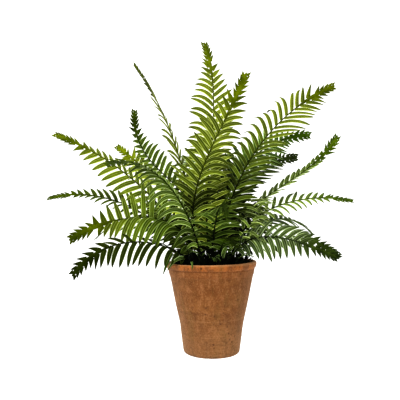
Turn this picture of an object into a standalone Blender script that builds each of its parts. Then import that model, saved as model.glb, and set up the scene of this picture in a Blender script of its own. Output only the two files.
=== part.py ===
"""A potted boston fern: moulded fronds that stand in dark filler in a terracotta pot.

The origin is the centre of the pot's foot, +Z is up and the fern's front faces -Y.
Lengths in the dimensions below are in millimetres and are turned into metres by MM.
Angles are in degrees.
"""
import math
import random

import bmesh
import bpy
from mathutils import Matrix, Vector
from mathutils.bvhtree import BVHTree

MM = 0.001

# Pot: a standard thrown flowerpot whose rim band narrows to a soft step
POT_HEIGHT = 137.0
RIM_RADIUS = 70.0
RIM_EDGE_ROUND = 2.0
RIM_INNER_BEVEL = 1.0
BAND_HEIGHT = 9.0
BAND_FOOT_RADIUS = 68.0
BAND_UNDERCUT = 1.4
UNDER_BAND_RADIUS = 66.7
WALL_THICKNESS = 6.5
WAIST_HEIGHT = 42.0
WAIST_RADIUS = 48.6
FOOT_RADIUS = 43.4
FOOT_ROUND = 3.0
FLOOR_THICKNESS = 8.0
POT_SIDES = 32
SHARP_EDGE_ANGLE = 35.0

# Filler: a solid plug that fills the pot to just under its rim
SOIL_TOP = 130.0
SOIL_SLOPE = 3.0
SOIL_FLAT_RADIUS = 40.0
FIT_GAP = 0.3
WALL_FIT_GAP = 0.33

# Stems stand in three rings of plain holes
STEM_DEPTH = 14.0
HOLE_SPARE = 1.0
CUTTER_RISE = 2.0
HOLE_RADIUS = 2.7
HOLE_SIDES = 6
RINGS = {"inner": 10.0, "middle": 20.0, "outer": 30.0}

# Ribs: a keeled section, flat on top, that thins from the stem to the tip
STEM_WIDTH = 2.8
RIB_WIDTH = 1.8
RIB_THICKNESS = 2.6
TIP_THICKNESS = 1.6
TOP_SHARE = 0.35
BARE_STEM = 24.0
STEM_STEP = 12.0

# Leaflets: one grown from the rib's side in each step, in turn on its left and right
LEAFLET_LENGTH = 45.0
LEAFLET_WIDTH = 6.0
BLADE_THICKNESS = 0.8
LEAFLET_STEP = 5.8
FIRST_LEAFLET_SHARE = 0.45
LEAFLET_GROWTH = 2.8
LAST_LEAFLET_SHARE = 0.13
TAPER_LENGTH = 125.0
ROOT_LEAFLET_ANGLE = 62.0
TIP_LEAFLET_ANGLE = 46.0
BEND_SHARE = 0.55
HANG = 0.75

# Pad: the fused tip of a frond, with teeth and a blunt end
PAD_LENGTH = 40.0
PAD_WIDTH = 10.0
PAD_SPREAD = 1.6
PAD_NARROWING = 0.25
TOOTH_STEP = 5.0
TOOTH_LENGTH = 3.5
TOOTH_GROWTH = 0.17

# Small differences between leaflets: length, fold, sweep and hang
LENGTH_SPREAD = (0.93, 1.05)
FOLD_SPREAD = 5.0
SWEEP_SPREAD = 3.0
HANG_SPREAD = 0.2
SEED = 11

# Poses that a leaflet tries in turn until it hangs clear of all others:
# fold out of the blade's plane, sweep along the rib, and part of its length
BLADE_CLEARANCE = 0.35
CLEAR_POSES = [(fold, sweep, part)
               for part in (1.0, 0.8, 0.6)
               for sweep in (0, 12, -12)
               for fold in (0, 14, -14, 28, -28, 38, -42, -56)]

# One row for each frond: colour, ring, angle of its root round the pot, heading of its
# blade, roll of the blade at the root and at the tip, fold of its leaflets, and three
# (out, up, aside) points of its rib, measured from the root along the heading, upwards,
# and to the heading's left
FRONDS = {
    "frond_01": ("bright", "inner", 180, 178, (-35, 8), 0, (26, 119, 0), (66, 239, 0), (114, 322, 0)),
    "frond_02": ("dark", "inner", 135, 146, (-40, -50), 0, (43, 113, 0), (125, 184, 0), (155, 270, 0)),
    "frond_03": ("bright", "middle", 197, 195, (-55, -60), -12, (54, 84, 0), (141, 160, 0), (217, 196, 0)),
    "frond_04": ("bright", "middle", 152, 145, (-30, -30), 5, (20, 64, 0), (104, 152, 0), (189, 209, 0)),
    "frond_05": ("mid", "middle", 228, 228, (0, 0), -15, (35, 80, 0), (112, 142, 0), (181, 140, 0)),
    "frond_06": ("bright", "outer", 178, 178, (-50, -15), 8, (45, 58, 0), (157, 111, 0), (231, 106, 0)),
    "frond_07": ("bright", "outer", 205, 204, (-72, -55), 5, (28, 62, 0), (112, 73, 0), (186, 44, 0)),
    "frond_08": ("dark", "outer", 222, 209, (-20, -70), -14, (40, 28, 0), (115, 40, 0), (187, -2, 0)),
    "frond_09": ("bright", "inner", 270, 95, (0, 0), 5, (8, 110, 6), (18, 220, -4), (38, 366, 8)),
    "frond_10": ("bright", "inner", 225, 294, (0, 0), 5, (13, 100, -28), (56, 180, -17), (124, 266, 0)),
    "frond_11": ("bright", "inner", 0, 5, (45, 65), 12, (27, 119, 0), (87, 215, 0), (192, 290, 0)),
    "frond_12": ("mid", "inner", 45, 27, (40, 60), 5, (20, 121, 0), (82, 185, 0), (194, 224, 0)),
    "frond_13": ("dark", "middle", 45, 42, (30, 50), 10, (35, 122, 0), (118, 171, 0), (209, 193, 0)),
    "frond_14": ("mid", "middle", 15, 10, (0, 28), 10, (30, 74, 0), (103, 131, 0), (195, 213, 0)),
    "frond_15": ("mid", "outer", 5, 6, (22, 26), 10, (30, 66, 0), (110, 104, 0), (202, 103, 0)),
    "frond_16": ("mid", "outer", 325, -36, (50, 60), 0, (36, 42, 0), (99, 45, 0), (171, 21, 0)),
    "frond_17": ("dark", "outer", 345, -12, (40, 30), 8, (40, 40, 0), (110, 45, 0), (162, 19, 0)),
    "frond_18": ("mid", "outer", 290, -75, (0, 0), -5, (12, 32, 0), (38, 46, 0), (74, 36, 0)),
    "frond_19": ("mid", "outer", 35, 35, (20, 20), 5, (40, 50, 0), (125, 75, 0), (205, 45, 0)),
    "frond_20": ("dark", "outer", 58, 60, (0, 0), 5, (40, 55, 0), (115, 88, 0), (192, 66, 0)),
    "frond_21": ("mid", "outer", 88, 88, (0, 0), 5, (40, 55, 0), (115, 92, 0), (196, 74, 0)),
    "frond_22": ("dark", "outer", 118, 118, (0, 0), 5, (40, 50, 0), (112, 80, 0), (186, 52, 0)),
    "frond_23": ("bright", "middle", 73, 72, (0, 0), 5, (32, 92, 0), (95, 162, 0), (180, 185, 0)),
    "frond_24": ("mid", "middle", 105, 104, (0, 0), 5, (32, 94, 0), (95, 168, 0), (182, 200, 0)),
    "frond_25": ("bright", "inner", 90, 90, (0, 0), 5, (22, 105, 0), (60, 205, 0), (118, 265, 0)),
    "frond_26": ("mid", "outer", 150, 152, (-20, -20), 5, (40, 48, 0), (125, 70, 0), (205, 38, 0)),
    "frond_27": ("dark", "middle", 272, 277, (0, 0), -5, (20, 58, 0), (70, 90, 0), (126, 76, 0)),
}

# Colour as linear red, green, blue; then roughness
TERRACOTTA = ((0.38, 0.13, 0.045), 0.85)
FILLER = ((0.012, 0.015, 0.014), 0.95)
FROND_COLOURS = {
    "bright": ((0.14, 0.27, 0.02), 0.5),
    "mid": ((0.065, 0.16, 0.015), 0.5),
    "dark": ((0.022, 0.06, 0.014), 0.55),
}


def clear_scene():
    """Remove every object that the opened file holds."""
    for existing in list(bpy.data.objects):
        bpy.data.objects.remove(existing, do_unlink=True)


def principled(name, colour, roughness):
    """A plain Principled material."""
    material = bpy.data.materials.new(name)
    material.use_nodes = True
    shader = material.node_tree.nodes["Principled BSDF"]
    shader.inputs["Base Color"].default_value = (*colour, 1.0)
    shader.inputs["Roughness"].default_value = roughness
    shader.inputs["Metallic"].default_value = 0.0
    return material


def add_object(name, mesh):
    """Link a mesh to the scene as an object of its own."""
    made = bpy.data.objects.new(name, mesh)
    bpy.context.scene.collection.objects.link(made)
    return made


def turned(name, profile):
    """Turn a profile of (radius, height) round +Z; it runs down the outer side."""
    mesh = bpy.data.meshes.new(name)
    points = [(radius * MM, 0.0, height * MM) for radius, height in profile]
    edges = [(index, index + 1) for index in range(len(points) - 1)]
    mesh.from_pydata(points, edges, [])
    made = add_object(name, mesh)
    screw = made.modifiers.new("Turned", "SCREW")
    screw.steps = POT_SIDES
    screw.render_steps = POT_SIDES
    screw.use_merge_vertices = True
    screw.merge_threshold = 0.00001
    return made


def settle(made, material):
    """Turn an object's modifiers into its mesh, shade it smooth and give it its material."""
    seen = made.evaluated_get(bpy.context.evaluated_depsgraph_get())
    mesh = bpy.data.meshes.new_from_object(seen)
    mesh.name = made.name
    made.modifiers.clear()
    made.data = mesh
    mesh.shade_smooth()
    mesh.set_sharp_from_angle(angle=math.radians(SHARP_EDGE_ANGLE))
    mesh.materials.clear()
    mesh.materials.append(material)


def arc(centre, radius, start, end, steps):
    """Points (radius, height) on an arc between two angles."""
    angles = [math.radians(start + (end - start) * step / steps) for step in range(steps + 1)]
    return [(centre[0] + radius * math.cos(angle), centre[1] + radius * math.sin(angle))
            for angle in angles]


def wall_line(height, foot, waist, top):
    """Radius at a height of a wall through three (height, radius) points."""
    low, high = (foot, waist) if height < waist[0] else (waist, top)
    return low[1] + (high[1] - low[1]) * (height - low[0]) / (high[0] - low[0])


def inner_wall():
    """The inner wall's three (height, radius) points, from the floor to the rim."""
    low = FOOT_RADIUS + (WAIST_RADIUS - FOOT_RADIUS) * FLOOR_THICKNESS / WAIST_HEIGHT
    return [(FLOOR_THICKNESS, low - WALL_THICKNESS),
            (WAIST_HEIGHT, WAIST_RADIUS - WALL_THICKNESS),
            (POT_HEIGHT - RIM_INNER_BEVEL, RIM_RADIUS - WALL_THICKNESS)]


def make_pot(material):
    """The pot: inner and outer wall in one turned profile, from the inner floor round."""
    band_foot = POT_HEIGHT - BAND_HEIGHT
    profile = [(0.0, FLOOR_THICKNESS)]
    profile += [(radius, height) for height, radius in inner_wall()]
    profile += [(RIM_RADIUS - WALL_THICKNESS + RIM_INNER_BEVEL, POT_HEIGHT)]
    edge_centre = (RIM_RADIUS - RIM_EDGE_ROUND, POT_HEIGHT - RIM_EDGE_ROUND)
    profile += arc(edge_centre, RIM_EDGE_ROUND, 90, 0, 2)
    profile += [(BAND_FOOT_RADIUS, band_foot), (UNDER_BAND_RADIUS, band_foot - BAND_UNDERCUT)]
    profile += [(WAIST_RADIUS, WAIST_HEIGHT)]
    profile += arc((FOOT_RADIUS - FOOT_ROUND, FOOT_ROUND), FOOT_ROUND, -5, -90, 3)
    profile += [(0.0, 0.0)]
    pot = turned("pot", profile)
    settle(pot, material)
    return pot


def make_soil(material):
    """The filler: a turned plug with a flat middle, cut by one plain hole for each stem."""
    wall = inner_wall()
    edge_height = SOIL_TOP - SOIL_SLOPE
    bottom = FLOOR_THICKNESS + FIT_GAP
    profile = [(0.0, SOIL_TOP), (SOIL_FLAT_RADIUS, SOIL_TOP)]
    for height in (edge_height, WAIST_HEIGHT, bottom):
        profile.append((wall_line(height, *wall) - WALL_FIT_GAP, height))
    profile.append((0.0, bottom))
    soil = turned("soil", profile)
    cutter = make_hole_cutter()
    cut = soil.modifiers.new("Stem holes", "BOOLEAN")
    cut.operation = "DIFFERENCE"
    cut.solver = "EXACT"
    cut.object = cutter
    settle(soil, material)
    bpy.data.objects.remove(cutter, do_unlink=True)
    return soil


def make_hole_cutter():
    """One upright cutter for each stem, all in a single guide object."""
    mesh = bpy.data.meshes.new("stem_hole_cutter")
    shapes = bmesh.new()
    low = SOIL_TOP - STEM_DEPTH - HOLE_SPARE
    high = SOIL_TOP + CUTTER_RISE
    for row in FRONDS.values():
        root = root_point(row)
        centre = Matrix.Translation((root.x, root.y, (low + high) / 2 * MM))
        bmesh.ops.create_cone(shapes, cap_ends=True, segments=HOLE_SIDES, matrix=centre,
                              radius1=HOLE_RADIUS * MM, radius2=HOLE_RADIUS * MM,
                              depth=(high - low) * MM)
    shapes.to_mesh(mesh)
    shapes.free()
    cutter = add_object("stem_hole_cutter", mesh)
    cutter.hide_render = True
    cutter.display_type = "WIRE"
    return cutter


def root_point(row):
    """Where a frond's stem leaves the filler."""
    angle = math.radians(row[2])
    radius = RINGS[row[1]] * MM
    return Vector((radius * math.cos(angle), radius * math.sin(angle), SOIL_TOP * MM))


def rib_knots(row):
    """The root and the three points that a frond's rib runs through."""
    heading = math.radians(row[3])
    ahead = Vector((math.cos(heading), math.sin(heading), 0.0))
    aside = Vector((-math.sin(heading), math.cos(heading), 0.0))
    root = root_point(row)
    knots = [root]
    for out, up, left in row[6:]:
        knots.append(root + (ahead * out + aside * left + Vector((0, 0, up))) * MM)
    return knots


def curve_through(knots, count=240):
    """A cubic through four points, as a list of evenly timed points."""
    times = [0.0]
    for before, after in zip(knots, knots[1:]):
        times.append(times[-1] + (after - before).length)
    times = [time / times[-1] for time in times]
    points = []
    for step in range(count + 1):
        now = step / count
        point = Vector((0, 0, 0))
        for index, knot in enumerate(knots):
            weight = 1.0
            for other, time in enumerate(times):
                if other != index:
                    weight *= (now - time) / (times[index] - time)
            point += knot * weight
        points.append(point)
    return points


class Rib:
    """A frond's rib, read by its length from the root in metres."""

    def __init__(self, row):
        self.points = curve_through(rib_knots(row))
        self.lengths = [0.0]
        for before, after in zip(self.points, self.points[1:]):
            self.lengths.append(self.lengths[-1] + (after - before).length)
        self.length = self.lengths[-1]
        heading = math.radians(row[3])
        self.level_side = Vector((-math.sin(heading), math.cos(heading), 0.0))
        self.rolls = row[4]
        self.fold = row[5]

    def at(self, along):
        """The point at a length along the rib; it runs straight down below the root."""
        if along < 0:
            return self.points[0] + Vector((0, 0, along))
        index = 1
        while index < len(self.lengths) - 1 and self.lengths[index] < along:
            index += 1
        start, end = self.lengths[index - 1], self.lengths[index]
        share = (along - start) / (end - start)
        return self.points[index - 1].lerp(self.points[index], share)

    def axes(self, along):
        """Unit vectors at a length: along the rib, to its left, and out of its upper face."""
        if along < 0:
            tangent = Vector((0, 0, 1))
        else:
            step = 2.0 * MM
            ahead = min(along + step, self.length)
            tangent = (self.at(ahead) - self.at(max(ahead - 2 * step, 0.0))).normalized()
        side = self.level_side - tangent * self.level_side.dot(tangent)
        share = min(max(along / self.length, 0.0), 1.0)
        roll = math.radians(self.rolls[0] + (self.rolls[1] - self.rolls[0]) * share)
        side = Matrix.Rotation(roll, 3, tangent) @ side.normalized()
        return tangent, side, tangent.cross(side)


def spaced(start, end, step):
    """Even marks from start to end, start left out, about one step apart."""
    parts = max(1, round((end - start) / step))
    return [start + (end - start) * part / parts for part in range(1, parts + 1)]


def stations(rib):
    """Lengths at which a rib's section is set, and the step where leaflets begin."""
    bare = BARE_STEM * MM
    pad_start = rib.length - PAD_LENGTH * MM
    marks = [-STEM_DEPTH * MM, 0.0] + spaced(0.0, bare, STEM_STEP * MM)
    first = len(marks) - 1
    marks += spaced(bare, pad_start, LEAFLET_STEP * MM)
    marks += spaced(pad_start, rib.length, TOOTH_STEP * MM)
    return marks, first


def rib_section(rib, along):
    """Half width and thickness of the rib at a length; it widens into the pad."""
    share = min(max(along / rib.length, 0.0), 1.0)
    thickness = RIB_THICKNESS + (TIP_THICKNESS - RIB_THICKNESS) * share
    width = STEM_WIDTH + (RIB_WIDTH - STEM_WIDTH) * min(share * 2.0, 1.0)
    into_pad = 1.0 - (rib.length - along) / (PAD_LENGTH * MM)
    if into_pad > 0.0:
        spread = math.sin(math.radians(min(into_pad * PAD_SPREAD, 1.0) * 90.0))
        width += (PAD_WIDTH - RIB_WIDTH) * (spread - PAD_NARROWING * into_pad)
    return width * 0.5 * MM, thickness * MM


def rib_ring(rib, along):
    """Three corners of the rib's section: left, keel and right."""
    centre = rib.at(along)
    tangent, side, up = rib.axes(along)
    half_width, thickness = rib_section(rib, along)
    top = centre + up * thickness * TOP_SHARE
    return [top + side * half_width,
            centre - up * thickness * (1.0 - TOP_SHARE),
            top - side * half_width]


def leaflet_size(rib, along):
    """Length of a leaflet and its angle to the rib: short at both ends, long between."""
    share = (along - BARE_STEM * MM) / (rib.length - BARE_STEM * MM)
    angle = ROOT_LEAFLET_ANGLE + (TIP_LEAFLET_ANGLE - ROOT_LEAFLET_ANGLE) * share
    to_tip = (rib.length - along) / MM
    if to_tip < PAD_LENGTH:
        return (TOOTH_LENGTH + TOOTH_GROWTH * to_tip) * MM, angle
    grow = min(1.0, FIRST_LEAFLET_SHARE + LEAFLET_GROWTH * share)
    taper = min(1.0, LAST_LEAFLET_SHARE + to_tip / TAPER_LENGTH)
    return LEAFLET_LENGTH * grow * taper * MM, angle


def leaflet_blade(rib, start, end, hand, pose, wobble, margin=0.0):
    """A leaflet's ridge, two edges and tip, for one pose; a tooth of the pad is only a tip."""
    along = (start + end) / 2
    tangent, side, up = rib.axes(along)
    length, angle = leaflet_size(rib, along)
    fold, sweep, part = pose
    more_length, more_fold, more_sweep, more_hang = wobble
    length *= part * more_length
    base = rib.at(along) + side * hand * rib_section(rib, along)[0]
    angle = math.radians(angle + sweep + more_sweep)
    if rib.length - along < PAD_LENGTH * MM:
        direction = tangent * math.cos(angle) + side * hand * math.sin(angle)
        return [base + direction * (length + margin)]
    fold_angle = math.radians(rib.fold + fold + more_fold)
    outward = side * hand * math.cos(fold_angle) + up * math.sin(fold_angle)
    direction = tangent * math.cos(angle) + outward * math.sin(angle)
    across = (tangent - direction * tangent.dot(direction)).normalized()
    face = across.cross(direction) * hand
    hanging = (direction + Vector((0, 0, -1)) * (HANG + more_hang)).normalized()
    middle = base + direction * length * BEND_SHARE
    width = LEAFLET_WIDTH * MM * 0.5 + margin
    thick = BLADE_THICKNESS * MM * 0.5 + margin
    tip = middle + hanging * (length * (1.0 - BEND_SHARE) + margin)
    return [middle + face * thick, middle + across * width - face * thick,
            middle - across * width - face * thick, tip]


def blade_faces(root, first, count):
    """Faces of a leaflet, from its four root corners to its own points."""
    if count == 1:
        return [(root[side], root[(side + 1) % 4], first) for side in range(4)]
    up_near, up_far, down_far, down_near = root
    ridge, far, near, tip = range(first, first + 4)
    return [(up_near, up_far, ridge), (up_far, far, ridge), (up_far, down_far, far),
            (down_far, down_near, near), (down_far, near, far), (down_near, up_near, near),
            (up_near, ridge, near), (ridge, far, tip), (far, near, tip), (near, ridge, tip)]


def leaflet_tree(root_corners, blade):
    """A search tree over one leaflet's own faces, and its points."""
    points = list(root_corners) + blade
    return BVHTree.FromPolygons(points, blade_faces(range(4), 4, len(blade))), points


def box_of(points):
    """Lowest and highest corner of a box round some points."""
    low = Vector([min(point[axis] for point in points) for axis in range(3)])
    high = Vector([max(point[axis] for point in points) for axis in range(3)])
    return low, high


def boxes_meet(first, second):
    """True where two boxes overlap."""
    return all(first[0][axis] < second[1][axis] and second[0][axis] < first[1][axis]
               for axis in range(3))


class Obstacles:
    """Everything that a new leaflet must stay clear of, each with its box."""

    def __init__(self):
        self.items = []

    def add(self, tree, box, owner):
        """Take in one more search tree."""
        self.items.append((tree, box, owner))

    def blocked(self, tree, box, owner):
        """True where a leaflet crosses an item that isn't its own rib."""
        for other_tree, other_box, other_owner in self.items:
            if other_owner != owner and boxes_meet(box, other_box) and tree.overlap(other_tree):
                return True
        return False


def segment_faces(first, second):
    """Two triangles for each side of a rib segment between two rings: left, right, top."""
    sides = []
    for corner in range(3):
        after = (corner + 1) % 3
        sides.append([(first + corner, first + after, second + after),
                      (first + corner, second + after, second + corner)])
    return sides


def add_rib_obstacles(obstacles, ribs):
    """Each rib in short stretches, so that their boxes stay small."""
    for name, rib in ribs.items():
        marks = stations(rib)[0]
        for start, end in zip(marks, marks[1:]):
            points = rib_ring(rib, start) + rib_ring(rib, end)
            faces = [face for side in segment_faces(0, 3) for face in side]
            obstacles.add(BVHTree.FromPolygons(points, faces), box_of(points), name)


def add_solid_obstacle(obstacles, made):
    """A finished object."""
    points = [vertex.co for vertex in made.data.vertices]
    tree = BVHTree.FromPolygons(points, [tuple(face.vertices) for face in made.data.polygons])
    obstacles.add(tree, box_of(points), made.name)


def clear_leaflet(rib, name, marks, hand, root_corners, wobble, obstacles):
    """The first pose of a leaflet that hangs clear, or None."""
    for pose in CLEAR_POSES:
        blade = leaflet_blade(rib, *marks, hand, pose, wobble, BLADE_CLEARANCE * MM)
        tree, points = leaflet_tree(root_corners, blade)
        box = box_of(points)
        if not obstacles.blocked(tree, box, name):
            obstacles.add(tree, box, name + " leaflet")
            return leaflet_blade(rib, *marks, hand, pose, wobble)
    return None


def make_frond(name, rib, obstacles, material, seed):
    """One frond: its rib, with a leaflet grown from one side face in each step."""
    marks, first_leaflet = stations(rib)
    draw = random.Random(seed)
    points = [corner for mark in marks for corner in rib_ring(rib, mark)]
    faces = [(0, 2, 1)]
    for index in range(len(marks) - 1):
        near = index * 3
        far = near + 3
        sides = segment_faces(near, far)
        if index >= first_leaflet:
            wobble = (draw.uniform(*LENGTH_SPREAD), draw.uniform(-FOLD_SPREAD, FOLD_SPREAD),
                      draw.uniform(-SWEEP_SPREAD, SWEEP_SPREAD),
                      draw.uniform(-HANG_SPREAD, HANG_SPREAD))
            hand = 1 if index % 2 else -1
            top = 0 if hand > 0 else 2
            root = [near + top, far + top, far + 1, near + 1]
            root_corners = [points[corner] for corner in root]
            blade = clear_leaflet(rib, name, marks[index:index + 2], hand, root_corners,
                                  wobble, obstacles)
            if blade:
                del sides[0 if hand > 0 else 1]
                faces += blade_faces(root, len(points), len(blade))
                points += blade
        faces += [face for side in sides for face in side]
    last = (len(marks) - 1) * 3
    faces.append((last, last + 1, last + 2))
    mesh = bpy.data.meshes.new(name)
    mesh.from_pydata(points, [], faces)
    shape = bmesh.new()
    shape.from_mesh(mesh)
    bmesh.ops.recalc_face_normals(shape, faces=shape.faces)
    shape.to_mesh(mesh)
    shape.free()
    mesh.materials.append(material)
    return add_object(name, mesh)


def build():
    """Make the pot, the filler and every frond."""
    clear_scene()
    pot = make_pot(principled("terracotta", *TERRACOTTA))
    soil = make_soil(principled("filler", *FILLER))
    colours = {tone: principled("frond_" + tone, *look) for tone, look in FROND_COLOURS.items()}
    ribs = {name: Rib(row) for name, row in FRONDS.items()}
    obstacles = Obstacles()
    add_solid_obstacle(obstacles, pot)
    add_solid_obstacle(obstacles, soil)
    add_rib_obstacles(obstacles, ribs)
    for order, (name, row) in enumerate(FRONDS.items()):
        make_frond(name, ribs[name], obstacles, colours[row[0]], SEED * 100 + order)


build()
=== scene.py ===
import math
import random

import bpy
import numpy as np
from mathutils import Matrix, Vector, noise
from mathutils.kdtree import KDTree


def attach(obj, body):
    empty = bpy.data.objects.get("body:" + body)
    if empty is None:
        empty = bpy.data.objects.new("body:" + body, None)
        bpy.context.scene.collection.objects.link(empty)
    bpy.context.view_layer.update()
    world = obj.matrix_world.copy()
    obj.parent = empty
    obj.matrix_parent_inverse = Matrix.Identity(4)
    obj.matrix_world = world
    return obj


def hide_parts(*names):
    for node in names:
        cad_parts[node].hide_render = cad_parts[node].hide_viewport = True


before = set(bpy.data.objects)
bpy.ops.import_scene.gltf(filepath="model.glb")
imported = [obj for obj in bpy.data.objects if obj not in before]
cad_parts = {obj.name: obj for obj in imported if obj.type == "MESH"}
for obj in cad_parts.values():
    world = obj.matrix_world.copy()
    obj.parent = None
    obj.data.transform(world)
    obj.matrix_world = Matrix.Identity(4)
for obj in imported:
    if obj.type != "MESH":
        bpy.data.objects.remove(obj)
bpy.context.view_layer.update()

MM = 0.001


# The pot is one thrown terracotta pot with a shallow rim band. The clay is unglazed, so its
# colour drifts from orange at the rim to a dusty brown at the foot, with streaks and specks,
# paler in blotches low down, and its edges are worn and a little chipped.

POT_HEIGHT = 137.0
RIM_RADIUS = 70.0
BAND_HEIGHT = 9.0
RIM_TILT = 1.5
POT_TURNS = 224

# Half of the pot's section as (radius, height), from the middle of the floor inside, over
# the rim and down the outer side to the middle of the foot
POT_PROFILE = [(0.0, 8.0), (34.0, 8.0), (37.9, 9.5), (42.1, 42.0), (55.0, 97.0), (62.4, 129.0),
               (63.4, 135.2), (64.3, 137.2), (65.8, 138.1), (67.6, 138.2), (69.0, 137.6),
               (69.9, 136.2), (69.8, 133.6), (68.9, 129.8), (68.2, 129.0), (67.3, 128.4),
               (67.0, 126.8), (65.4, 118.6), (64.6, 117.4), (57.4, 83.0), (48.6, 42.0),
               (46.4, 25.0), (43.6, 3.6), (43.1, 1.6), (41.6, 0.3), (39.8, 0.0), (0.0, 0.0)]

# Chips as (angle round the pot, height, width, depth)
POT_CHIPS = [(259.0, 133.0, 2.6, 1.1), (234.0, 136.5, 4.0, 0.7), (288.0, 136.8, 5.0, 0.5),
             (310.0, 128.6, 3.5, 0.6), (212.0, 128.4, 3.0, 0.6), (275.0, 128.2, 6.0, 0.3),
             (262.0, 1.5, 5.0, 0.9), (247.0, 2.2, 3.5, 0.8), (301.0, 1.2, 6.0, 0.8),
             (228.0, 1.0, 4.0, 0.7), (40.0, 136.4, 4.5, 0.8), (120.0, 1.4, 5.0, 0.9),
             (150.0, 135.8, 3.0, 0.7), (10.0, 128.4, 4.0, 0.6), (75.0, 1.6, 4.0, 0.7)]

# Dark knocks on the rim that the photo shows, as a place and a size in metres
RIM_MARKS = [((-0.0166, -0.0680, 0.1330), 0.0030), ((-0.0130, -0.0687, 0.1300), 0.0022),
             ((-0.0350, -0.0607, 0.1320), 0.0024), ((0.0390, -0.0580, 0.1345), 0.0020)]


class Shade:
    """A socket of a material; sums written with it add the material's Math nodes."""

    def __init__(self, socket):
        self.socket = socket

    def node(self, kind, settings, inputs, output=0):
        """Any node: its settings come first, then the values or links of its sockets."""
        tree = self.socket.id_data
        made = tree.nodes.new("ShaderNode" + kind)
        for name, value in settings.items():
            if name == "stops":
                ramp = made.color_ramp
                while len(ramp.elements) < len(value):
                    ramp.elements.new(1.0)
                for stop, (place, colour) in zip(ramp.elements, value):
                    stop.position = place
                    stop.color = (*colour, 1.0)
            else:
                setattr(made, name, value)
        for name, value in inputs.items():
            if isinstance(value, Shade):
                tree.links.new(value.socket, made.inputs[name])
            else:
                made.inputs[name].default_value = value
        return Shade(made.outputs[output])

    def maths(self, operation, first, second, clamp=False):
        """One Math node."""
        return self.node("Math", {"operation": operation, "use_clamp": clamp}, {0: first, 1: second})

    def __add__(self, other):
        return self.maths("ADD", self, other)

    def __radd__(self, other):
        return self.maths("ADD", other, self)

    def __sub__(self, other):
        return self.maths("SUBTRACT", self, other)

    def __rsub__(self, other):
        return self.maths("SUBTRACT", other, self)

    def __mul__(self, other):
        return self.maths("MULTIPLY", self, other)

    def __rmul__(self, other):
        return self.maths("MULTIPLY", other, self)

    def between(self, low, high):
        """0 below low and 1 above high, and smooth from one to the other."""
        return self.node("MapRange", {"interpolation_type": "SMOOTHSTEP"},
                         {"Value": self, "From Min": low, "From Max": high})

    def blend(self, first, second):
        """The first colour where this is 0 and the second where it is 1."""
        colours = {"A": first, "B": second}
        inputs = {6 if name == "A" else 7: colour if isinstance(colour, Shade) else (*colour, 1.0)
                  for name, colour in colours.items()}
        return self.node("Mix", {"data_type": "RGBA"}, {0: self, **inputs}, 2)

    def spots(self, scale, detail=2.0, stretch=(1.0, 1.0, 1.0), roughness=0.5):
        """Cloudy noise from 0 to 1 at this point, its scale in spots a metre."""
        place = self.node("VectorMath", {"operation": "MULTIPLY"}, {0: self, 1: stretch})
        return self.node("TexNoise", {}, {"Vector": place, "Scale": scale, "Detail": detail,
                                          "Roughness": roughness})

    def cells(self, scale, output="Distance"):
        """Distance to the nearest of the points that are strewn over this place."""
        return self.node("TexVoronoi", {}, {"Vector": self, "Scale": scale}, output)


def new_material(name):
    """A material, its Principled shader, and the place on the object as a Shade."""
    material = bpy.data.materials.new(name)
    material.use_nodes = True
    nodes = material.node_tree.nodes
    shader = nodes["Principled BSDF"]
    return material, shader, Shade(nodes.new("ShaderNodeTexCoord").outputs["Object"])


def finish_shader(material, shader, colour, roughness, height, relief):
    """Link what changes over the surface: colour, roughness and a bump of some metres."""
    links = material.node_tree.links
    links.new(colour.socket, shader.inputs["Base Color"])
    links.new(roughness.socket, shader.inputs["Roughness"])
    bump = height.node("Bump", {}, {"Height": height, "Distance": relief, "Strength": 1.0})
    links.new(bump.socket, shader.inputs["Normal"])


def add_piece(name, mesh, material, sharp_angle=40.0):
    """Link a mesh as a smooth piece that rides on the part's one body."""
    piece = bpy.data.objects.new(name, mesh)
    bpy.context.scene.collection.objects.link(piece)
    mesh.materials.append(material)
    mesh.shade_smooth()
    mesh.set_sharp_from_angle(angle=math.radians(sharp_angle))
    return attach(piece, "root")


def resampled(profile, step):
    """The same line with points no more than a step apart."""
    points = [profile[0]]
    for before, after in zip(profile, profile[1:]):
        parts = max(1, math.ceil(math.dist(before, after) / step))
        for part in range(1, parts + 1):
            share = part / parts
            points.append((before[0] + (after[0] - before[0]) * share,
                           before[1] + (after[1] - before[1]) * share))
    return points


def chip_depth(angle, height):
    """How deep the chips and knocks cut at a place on the pot, in millimetres."""
    depth = 0.0
    for at_angle, at_height, width, deep in POT_CHIPS:
        around = math.radians((angle - at_angle + 180.0) % 360.0 - 180.0) * RIM_RADIUS
        away = math.hypot(around, (height - at_height) * 1.6) / width
        if away < 1.0:
            ragged = 0.7 + 0.6 * noise.noise(Vector((around * 0.9, height * 0.9, at_angle)))
            depth = max(depth, deep * ragged * (1.0 - away * away))
    return depth


def thrown(radius, height, angle):
    """The place of a point of the pot once the hand's unevenness is added."""
    turn = math.radians(angle)
    place = Vector((math.cos(turn) * radius, math.sin(turn) * radius, height))
    outside = height > 0.05 and radius > 40.0
    wobble = 0.0
    if outside:
        wobble += 0.45 * noise.noise(place / 30.0)
        wobble += 0.16 * noise.noise(Vector((math.cos(turn) * 0.6, math.sin(turn) * 0.6, height / 3.2)))
        wobble += 0.10 * noise.noise(place / 4.0)
        wobble -= chip_depth(angle, height)
    lift = RIM_TILT * math.cos(turn) * max(0.0, height - 42.0) / (POT_HEIGHT - 42.0)
    if height > 129.5:
        lift += 0.35 * noise.noise(Vector((math.cos(turn) * 1.4, math.sin(turn) * 1.4, 7.0))) - 0.25
    radius += wobble - 0.1 * outside
    return (math.cos(turn) * radius * MM, math.sin(turn) * radius * MM,
            max(height + lift, 0.0) * MM)


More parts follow.
